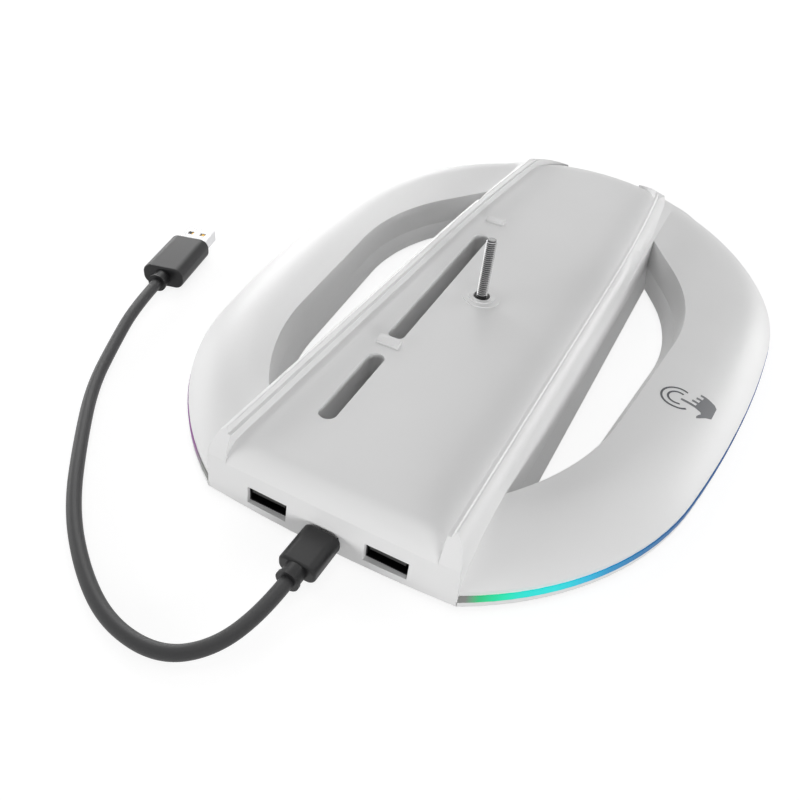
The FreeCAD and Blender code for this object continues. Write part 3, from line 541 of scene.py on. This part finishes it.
def open_ring(name, outer_mm, line_mm, open_from, open_to):
    deselect()
    bpy.ops.mesh.primitive_circle_add(vertices=96, radius=outer_mm * MM, location=(0, 0, 0),
                                      fill_type="NOTHING")
    ring = bpy.context.object
    ring.name = name
    bpy.ops.object.mode_set(mode="EDIT")
    bpy.ops.mesh.select_mode(type="VERT")
    bpy.ops.mesh.select_all(action="DESELECT")
    bpy.ops.object.mode_set(mode="OBJECT")
    for vertex in ring.data.vertices:
        bearing = math.degrees(math.atan2(vertex.co.y, vertex.co.x))
        vertex.select = open_from < bearing < open_to
    bpy.ops.object.mode_set(mode="EDIT")
    bpy.ops.mesh.delete(type="VERT")
    bpy.ops.mesh.select_all(action="SELECT")
    bpy.ops.mesh.extrude_region_move()
    inner = 1 - line_mm / outer_mm
    bpy.ops.transform.resize(value=(inner, inner, 1.0), center_override=(0, 0, 0))
    bpy.ops.object.mode_set(mode="OBJECT")
    ring.location = mark_centre
    return ring


ring_line = 0.75
rings = [open_ring("touch_ring_outer", 5.7, ring_line, -44, 57),
         open_ring("touch_ring_inner", 3.5, ring_line, -60, 58)]
print("ring faces", [len(ring.data.polygons) for ring in rings])

# %% [markdown]
# The hand is one flat face: a round face of as many corners as the hand has, whose corners are then
# put where finger, knuckles, wrist and thumb are. Cut into triangles and divided, it can follow the
# curve of the wing.

# %% Print the hand and drop the sign on the wing
hand_corners = [
    (74.3, -37.2), (79.2, -37.4), (79.5, -36.2), (77.6, -36.2), (77.6, -35.2), (79.9, -35.1), (80.2, -33.8),
    (78.7, -33.9), (78.7, -32.9), (80.7, -32.7), (81.0, -31.4), (79.7, -31.4), (79.7, -30.4), (81.4, -30.2),
    (83.1, -30.5), (85.1, -31.0), (86.0, -32.0), (85.4, -38.3), (83.3, -40.1), (81.5, -42.2), (80.6, -43.0),
    (80.5, -42.0), (81.0, -40.9), (81.7, -39.8), (81.3, -39.0), (79.2, -38.6), (74.3, -38.3), (74.0, -37.75)]
deselect()
bpy.ops.mesh.primitive_circle_add(vertices=len(hand_corners), radius=5 * MM, fill_type="NGON",
                                  location=(0, 0, 0))
hand = bpy.context.object
hand.name = "touch_hand"
for vertex, (x, y) in zip(hand.data.vertices, hand_corners):
    vertex.co = (x * MM, y * MM, 0)
for sign, ink in zip(rings + [hand], (ring_ink, ring_ink, hand_ink)):
    sign.location.z = above_wing
    take(sign)
    bpy.ops.object.transform_apply(location=True, rotation=True, scale=True)
    bpy.ops.object.mode_set(mode="EDIT")
    bpy.ops.mesh.select_all(action="SELECT")
    bpy.ops.mesh.normals_make_consistent(inside=False)
    bpy.ops.mesh.quads_convert_to_tris()
    bpy.ops.mesh.subdivide(number_cuts=1 if sign in rings else 5)
    bpy.ops.object.mode_set(mode="OBJECT")
    drop = sign.modifiers.new("drop", "SHRINKWRAP")
    drop.target = housing
    drop.wrap_method = "PROJECT"
    drop.use_project_z = True
    drop.use_negative_direction = True
    drop.use_positive_direction = False
    drop.offset = ink_height
    bpy.ops.object.modifier_apply(modifier="drop")
    if sum(face.normal.z for face in sign.data.polygons) < 0:
        sign.data.flip_normals()
    bpy.ops.object.shade_smooth()
    sign.data.materials.append(ink)
    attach(sign, "stand")
    heights = [round(vertex.co.z / MM, 2) for vertex in sign.data.vertices]
    print("printed", sign.name, len(sign.data.polygons), "faces", min(heights), "to", max(heights))

# %% [markdown]
# ## The floor and the light
# The photo's ground is pure white, yet hardly any light comes back from it into the gaps. So the
# floor is grey paint that shows a white of its own to the camera and in reflections: it reads as
# white, the stand's shadow still darkens it, and the walls of the gaps stay dark. Beyond the soft
# boxes little light falls on it, so its own white rises to full there. The room below needs the same
# choice of rays, so one function gives it to both.

# %% Lay the floor
def shown_rays(tree):
    path = put(tree, "ShaderNodeLightPath")
    seen = put(tree, "ShaderNodeMath", [(path.outputs["Is Camera Ray"], 0), (path.outputs["Is Glossy Ray"], 1)],
               operation="MAXIMUM")
    return put(tree, "ShaderNodeMath", [(seen.outputs["Value"], 0), (path.outputs["Is Transmission Ray"], 1)],
               operation="MAXIMUM")


floor_size = 12.0
paint, tree, shader = start_material("white_studio_paint", base_color=linear("8C8C8C"), roughness=0.9)
shown = shown_rays(tree)
place = put(tree, "ShaderNodeTexCoord")
away = put(tree, "ShaderNodeVectorMath", [(place.outputs["Object"], 0)], operation="LENGTH")
white = put(tree, "ShaderNodeMapRange", [(away.outputs["Value"], "Value")])
white.inputs["From Min"].default_value = 0.3
white.inputs["From Max"].default_value = 0.8
white.inputs["To Min"].default_value = 0.83
lift = put(tree, "ShaderNodeMath", [(shown.outputs["Value"], 0), (white.outputs["Result"], 1)],
           operation="MULTIPLY")
shader.inputs["Emission Color"].default_value = linear("FFFFFF")
tree.links.new(lift.outputs["Value"], shader.inputs["Emission Strength"])
bpy.ops.mesh.primitive_plane_add(size=floor_size, location=(0, 0, 0))
floor = bpy.context.object
floor.name = "studio_floor"
floor.data.materials.append(paint)

# %% [markdown]
# Soft boxes stand low at the four corners and on the left, two hang higher behind and one overhead.
# Low light from the corners whitens the outer slopes of the wings, but rails and platform keep it out
# of the gaps, so their walls stay dark and the level platform stays grey. The two strong boxes in
# front are left out of reflections, or the platform would glare when it is seen from behind. The
# ceiling of the white room adds a little from above, and its walls show only in reflections.

# %% Hang the lights
box_distance = 0.95


def soft_box(name, bearing, elevation, width, height, watts, mirrored=True):
    turn, rise = math.radians(bearing), math.radians(elevation)
    away = Vector((math.cos(turn) * math.cos(rise), math.sin(turn) * math.cos(rise), math.sin(rise)))
    bpy.ops.object.light_add(type="AREA", location=away * box_distance)
    light = bpy.context.object
    light.name = name
    light.data.shape = "RECTANGLE"
    light.data.size = width
    light.data.size_y = height
    light.data.energy = watts
    light.visible_camera = False
    light.visible_glossy = mirrored
    light.rotation_euler = (-away).to_track_quat("-Z", "Y").to_euler()
    print("light", name, watts)


low, high, overhead = 10, 42, 90
wide, square = (0.6, 0.25), (0.8, 0.8)
soft_box("front_right_box", 315, low, *wide, 5.0, mirrored=False)
soft_box("front_left_box", 225, low, *wide, 4.5, mirrored=False)
soft_box("left_box", 180, low, *wide, 1.2)
soft_box("back_left_box", 135, low, *wide, 2.4)
soft_box("high_back_left_box", 135, high, *wide, 2.0)
soft_box("back_right_box", 45, low, *wide, 2.1)
soft_box("high_back_right_box", 45, high, *wide, 0.7)
soft_box("overhead_box", 90, overhead, *square, 1.5)

world = bpy.data.worlds.new("white_room")
bpy.context.scene.world = world
world.use_nodes = True
tree = world.node_tree
room = tree.nodes["Background"]
room.inputs["Color"].default_value = linear("FFFFFF")
shown = shown_rays(tree)
toward = put(tree, "ShaderNodeTexCoord")
height = put(tree, "ShaderNodeSeparateXYZ", [(toward.outputs["Generated"], "Vector")])
ceiling = put(tree, "ShaderNodeMapRange", [(height.outputs["Z"], "Value")])
ceiling.inputs["From Min"].default_value = 0.35
ceiling.inputs["From Max"].default_value = 0.65
ceiling.inputs["To Min"].default_value = 0.02
ceiling.inputs["To Max"].default_value = 0.17
strength = put(tree, "ShaderNodeMapRange",
               [(shown.outputs["Value"], "Value"), (ceiling.outputs["Result"], "To Min")])
strength.inputs["To Max"].default_value = 1.0
tree.links.new(strength.outputs["Result"], room.inputs["Strength"])
bpy.context.scene.view_settings.view_transform = "Standard"
